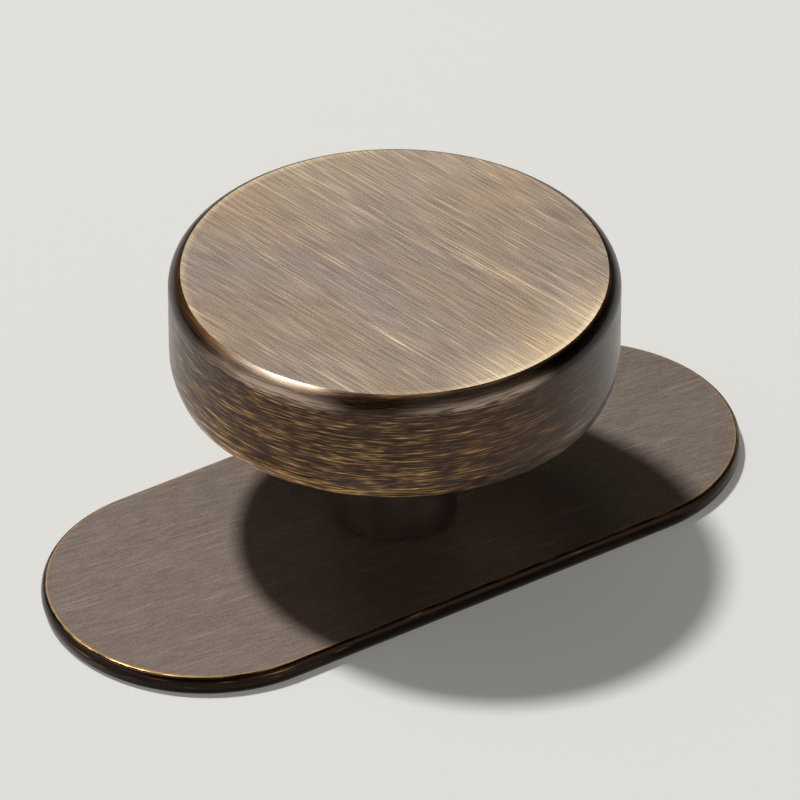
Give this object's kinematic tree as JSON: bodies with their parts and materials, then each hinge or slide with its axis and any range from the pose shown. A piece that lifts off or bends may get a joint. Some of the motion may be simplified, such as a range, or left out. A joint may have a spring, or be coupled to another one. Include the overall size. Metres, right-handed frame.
{
  "type": "cabinet knob",
  "caption": "Flat round drawer knob with a softened shoulder on a short neck, standing on a pill-shaped backplate, in aged brushed brass.",
  "frame": {"origin": "middle of the backplate's rear face, where the fixing screw's axis meets the door", "axes": "+X along the backplate's length, +Y across it, +Z away from the door towards the face of the knob"},
  "size_m": [0.066, 0.038, 0.0261],
  "materials": {
    "knob_brass": "aged brown, brushed back, worn to yellow metal at the rim",
    "plate_brass": "aged brown, satin brushed along its length, worn at the edge"
  },
  "bodies": {
    "root": {"knob": "knob_brass", "backplate": "plate_brass"}
  },
  "joints": []
}
